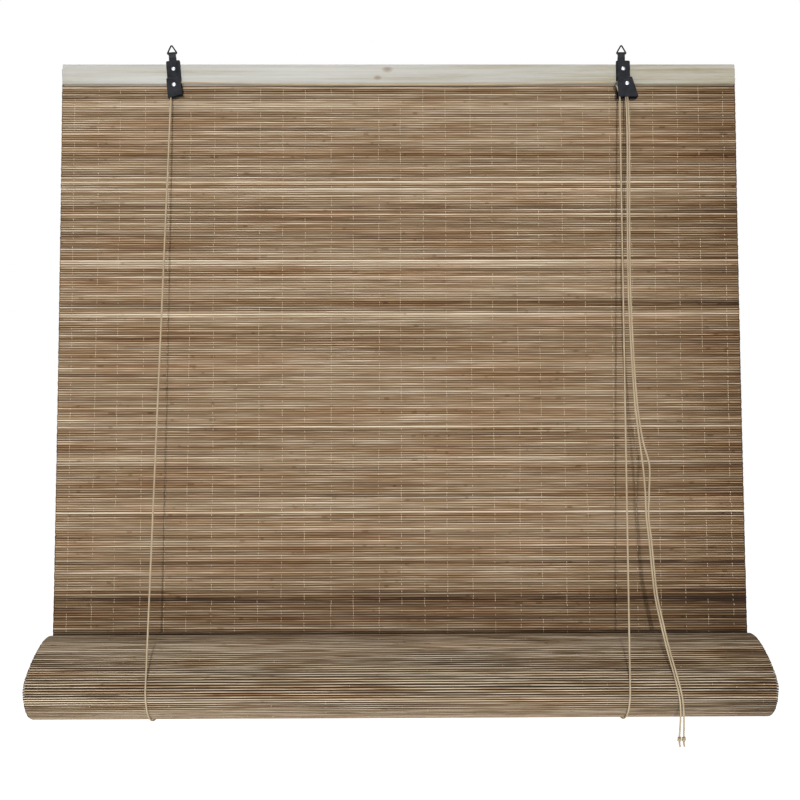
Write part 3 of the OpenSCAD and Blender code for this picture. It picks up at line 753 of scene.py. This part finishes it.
# The hanging mat, in bands between headrail and roll
band_first = 0
for band, count in enumerate(BAND_SLATS):
    band_last = band_first + count + (FREE_TOP_SLAT if band == 0 else 0)
    wall = slats(f"hanging_slats_{band + 1}", band_first, band_last, HANGING_SEED + band, CLOSE_SLATS)
    dress(wall, bamboo)
    binding = threads(f"hanging_threads_{band + 1}", band_first, band_last, THREAD_SEED, HIDDEN_LOOPS)
    dress(binding, thread)
    for piece in (wall, binding):
        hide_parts("mat_hanging")
        stretch(piece)
    band_first = band_last

# The roll, whose threads show on its outer turn
roll_last = HANGING_SLATS + ROLL_SLATS
outer_last = HANGING_SLATS + OUTER_TURN_SLATS
roll_wall = slats("roll_slats", HANGING_SLATS, roll_last, ROLL_SEED, PARTED_SLATS, PARTED_EDGE_STAIN_AND_SHADE)
dress(roll_wall, bamboo_back_shaded)
roll_binding = threads(
    "roll_threads", HANGING_SLATS, outer_last, THREAD_SEED, ROLL_HIDDEN_LOOPS, ROLL_LOOP_REACH)
dress(roll_binding, thread)
for piece in (roll_wall, roll_binding):
    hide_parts("mat_roll")
    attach(piece, "roll")


def lift_cord(node, top_x, roll_x, foot_x, foot_y, pulley_point):
    """A lift cord in three runs: down behind the mat, round under the roll, up by a foot to its pulley."""
    share = np.linspace(0, 1, LIFT_POINTS)
    run = FLAT_LENGTH + share * (HANG_LENGTH - FLAT_LENGTH)
    back_y = MAT_Y + CORD_RUN
    behind = np.stack([top_x + share * (roll_x - top_x), back_y - bow(run), MAT_TOP - run], axis=1)
    behind = np.concatenate([[[top_x, back_y, STAPLE_Z]], behind])
    turned = roll_point(np.radians(np.arange(0, 181, UNDER_STEP)), CORD_RUN)
    under = np.concatenate([np.full((len(turned), 1), roll_x), turned], axis=1)
    foot = np.array([foot_x, foot_y, FOOT_Z])
    rise = under[-1] + share[:, None] * (foot - under[-1])
    rise = np.concatenate([rise, [pulley_point]])
    heights = band_heights()
    runs = (("back", smooth_route(behind, CORD_STEP)), ("front", smooth_route(rise, CORD_STEP)[::-1]))
    for run_name, route in runs:
        cuts = [0, *(int(np.argmin(np.abs(route[:, 2] - z))) for z in heights[1:-1]), len(route) - 1]
        for band in range(len(BAND_SLATS)):
            part = route[cuts[band]:cuts[band + 1] + 1]
            piece = twisted_cord(f"{node}_{run_name}_{band + 1}", part, (1, 0, 0), cuts[band] * CORD_STEP)
            dress(piece, tan_cord)
            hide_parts(node)
            stretch(piece)
    piece = twisted_cord(f"{node}_under", smooth_route(under, CORD_STEP), (1, 0, 0))
    dress(piece, tan_cord)
    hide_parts(node)
    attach(piece, "roll")


lock_left = LOCK_AXLE - (PULLEY_RUN, 0, 0)
lock_front = FRONT_AXLE - (PULLEY_RUN, 0, 0)
left_left = LEFT_AXLE - (PULLEY_RUN, 0, 0)
lift_cord("left_lift_cord", LEFT_TOP_X, LEFT_ROLL_X, left_left[0], LEFT_FOOT_Y, left_left)
lift_cord("right_lift_cord", lock_left[0], RIGHT_ROLL_X, lock_left[0] + FOOT_LEAD, LOCK_FOOT_Y, lock_front)

# The cord from hanger to hanger
cross_share = CROSS_SHARES[:, None]
from_top = LEFT_AXLE + (0, 0, PULLEY_RUN)
to_top = LOCK_AXLE + (0, 0, PULLEY_RUN)
span = from_top + cross_share * (to_top - from_top)
span[:, 2] -= 4 * CROSS_SAG * CROSS_SHARES * (1 - CROSS_SHARES)
cross_route = np.concatenate([over_pulley(LEFT_AXLE, 150, 90), span, over_pulley(LOCK_AXLE, 90, 0)])
cross = twisted_cord("cross_cord_twisted", smooth_route(cross_route, CORD_STEP), (0, 1, 0))
dress(cross, tan_cord)
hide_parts("cross_cord")
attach(cross, "headrail")


def end_knot(node):
    """A stopper knot: the cord wound round itself in close turns, its end hanging out below."""
    low, high = (np.array(corner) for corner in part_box(node))
    middle = (low + high) / 2
    share = np.linspace(0, 1, KNOT_POINTS)
    angle = 2 * math.pi * KNOT_TURNS * share
    reach = (high[0] - low[0]) / 2 - CORD_RADIUS
    height = high[2] - CORD_RADIUS - (high[2] - low[2] - 2 * CORD_RADIUS) * share
    wound = np.stack([reach * np.cos(angle), reach * np.sin(angle), height], axis=1)
    tail = np.stack([KNOT_TAIL_X, np.zeros(len(KNOT_TAIL_X)), low[2] + KNOT_TAIL_Z], axis=1)
    knot_route = smooth_route(wound + (middle[0], middle[1], 0), CORD_STEP / 2)
    tail_route = smooth_route(tail + (middle[0], middle[1], 0), CORD_STEP)
    knot = twisted_cord(f"{node}_wound", knot_route, (0, 0, 1))
    end = twisted_cord(f"{node}_tail", tail_route, (0, 1, 0))
    for piece in (knot, end):
        dress(piece, tan_cord)
        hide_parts(node)
        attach(piece, "pull_ends")
    return [knot, end]


PULL_START_Y = (LOCK_AXLE[1] + FRONT_AXLE[1]) / 2 - MM
PULL_FRONT_Y = float(roll_point(math.pi, CORD_RUN)[0])
PULL_ROUTE = MM * PULL_COURSE
PULL_ROUTE[:, 1] = PULL_START_Y + PULL_COURSE[:, 1] * (PULL_FRONT_Y - PULL_START_Y)
rear_route = PULL_ROUTE - PULL_SPREAD[:, None] / 2 * (1, 0, 0)
front_route = PULL_ROUTE + PULL_SPREAD[:, None] / 2 * (1, 0, 0)
rear_points = np.concatenate([[LOCK_AXLE + (PULLEY_RUN, 0, -RUN_GAP)], rear_route])
front_points = np.concatenate([over_pulley(FRONT_AXLE, 150, 0), front_route])
PULL_CORDS = (
    ("pull_cord_rear", "rear_end_knot", rear_points),
    ("pull_cord_front", "front_end_knot", front_points),
)
for node, knot, points in PULL_CORDS:
    route = smooth_route(points, CORD_STEP)
    piece = twisted_cord(f"{node}_twisted", route, (0, 1, 0))
    dress(piece, tan_cord)
    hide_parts(node)
    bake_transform(piece)
    end_knot(knot)

# Floor, light and camera

FLOOR_Z = -2.2
FLOOR_HALF = 14.0
FLOOR_COLOUR = (0.8, 0.8, 0.8, 1.0)
FLOOR_GLOW = 0.9
# Light of the surround on the blind: at the level and from higher up
GLOW_LEVEL = 0.27
GLOW_ABOVE = 0.24
GLOW_HIGH = 0.7
WHITE = (1, 1, 1, 1)


def plainly_seen(tree):
    """1 for what the camera sees, straight or by way of metal and glass, and 0 for other light."""
    path = add(tree, "ShaderNodeLightPath")
    seen = calc(tree, "MAXIMUM", path.outputs["Is Camera Ray"], path.outputs["Is Glossy Ray"])
    return calc(tree, "MAXIMUM", seen, path.outputs["Is Transmission Ray"])


def backdrop_finish():
    """Pale floor that shows white to the camera and in reflections, and keeps a soft shadow."""
    made = bpy.data.materials.new("pale_floor")
    made.use_nodes = True
    tree = made.node_tree
    tree.nodes.remove(tree.nodes["Principled BSDF"])
    glow_strength = calc(tree, "MULTIPLY", plainly_seen(tree), FLOOR_GLOW)
    surface = add(tree, "ShaderNodeBsdfDiffuse", {"Color": FLOOR_COLOUR})
    glow = add(tree, "ShaderNodeEmission", {"Color": WHITE, "Strength": glow_strength})
    both = add(tree, "ShaderNodeAddShader", {0: surface.outputs["BSDF"], 1: glow.outputs["Emission"]})
    tree.links.new(both.outputs["Shader"], tree.nodes["Material Output"].inputs["Surface"])
    return made


def white_surround():
    """A world that shows white and lights the blind softly from all round."""
    made = bpy.data.worlds.new("white_surround")
    made.use_nodes = True
    tree = made.node_tree
    way = add(tree, "ShaderNodeSeparateXYZ", {0: add(tree, "ShaderNodeTexCoord").outputs["Generated"]})
    glow = spread(tree, way.outputs["Z"], 0.0, GLOW_HIGH, GLOW_LEVEL, GLOW_ABOVE)
    shown = {"Factor": plainly_seen(tree), 2: glow, 3: 1.0}
    strength = add(tree, "ShaderNodeMix", shown, data_type="FLOAT").outputs[0]
    tree.links.new(strength, tree.nodes["Background"].inputs["Strength"])
    tree.nodes["Background"].inputs["Color"].default_value = WHITE
    return made


def facing(right, up, forward, place):
    """The matrix of a lamp or camera that looks forward from a place."""
    turn = np.eye(4)
    turn[:3, 0], turn[:3, 1], turn[:3, 2], turn[:3, 3] = right, up, -forward, place
    return Matrix(turn.tolist())


def soft_lamp(name, place, target, size, power):
    """A square soft lamp that faces a target."""
    lamp = bpy.data.lights.new(name, "AREA")
    lamp.shape = "SQUARE"
    lamp.size = size
    lamp.energy = power
    holder = bpy.data.objects.new(name, lamp)
    aim = np.array(target) - np.array(place)
    aim = aim / np.linalg.norm(aim)
    side = np.cross(aim, (0, 0, 1))
    side /= np.linalg.norm(side)
    holder.matrix_world = facing(side, np.cross(side, aim), aim, place)
    bpy.context.scene.collection.objects.link(holder)


corners = FLOOR_HALF * np.array([[-1, -1, 0], [1, -1, 0], [1, 1, 0], [-1, 1, 0]]) + (0, 0, FLOOR_Z)
floor = put_mesh("pale_floor", corners, [np.arange(4)[None]])
floor.data.materials.append(backdrop_finish())
bpy.context.scene.world = white_surround()

# Lamps: name, place, target, size and power
MIDDLE = (0, 0, -0.42)
LAMPS = (
    ("key_lamp", (0, -4.5, -1.05), MIDDLE, 0.14, 146),
    ("left_lamp", (-1.8, -2.2, -0.6), (-0.2, 0, -0.4), 1.0, 7),
    ("top_lamp", (-0.1, -0.9, 1.7), (0, -0.05, -0.75), 0.8, 20),
    ("low_lamp", (0, -0.9, -2.1), (0, -0.08, -0.85), 0.9, 15),
    ("back_lamp", (0.5, 2.8, -0.2), MIDDLE, 0.8, 45),
)
for lamp in LAMPS:
    soft_lamp(*lamp)

# Camera, fitted to the photograph's outline of headrail, mat and roll
CAMERA_PLACE = np.array([-7.2, -1116.0, -487.1]) * MM
CAMERA_PITCH = math.radians(2.11)
CAMERA_YAW = math.radians(0.35)
CAMERA_ROLL = math.radians(-0.16)
FOCAL_PIXELS = 850
IMAGE_PIXELS = 800
SENSOR_WIDTH = 36
forward = np.array([
    math.sin(CAMERA_YAW) * math.cos(CAMERA_PITCH),
    math.cos(CAMERA_YAW) * math.cos(CAMERA_PITCH),
    math.sin(CAMERA_PITCH),
])
level = np.array([math.cos(CAMERA_YAW), -math.sin(CAMERA_YAW), 0.0])
upright = np.cross(level, forward)
right = math.cos(CAMERA_ROLL) * level + math.sin(CAMERA_ROLL) * upright
up = -math.sin(CAMERA_ROLL) * level + math.cos(CAMERA_ROLL) * upright
lens = bpy.data.cameras.new("photo_camera")
lens.sensor_width = SENSOR_WIDTH
lens.lens = SENSOR_WIDTH * FOCAL_PIXELS / IMAGE_PIXELS
camera = bpy.data.objects.new("photo_camera", lens)
camera.matrix_world = facing(right, up, forward, CAMERA_PLACE)
bpy.context.scene.collection.objects.link(camera)
bpy.context.scene.camera = camera
bpy.context.scene.view_settings.view_transform = "Standard"
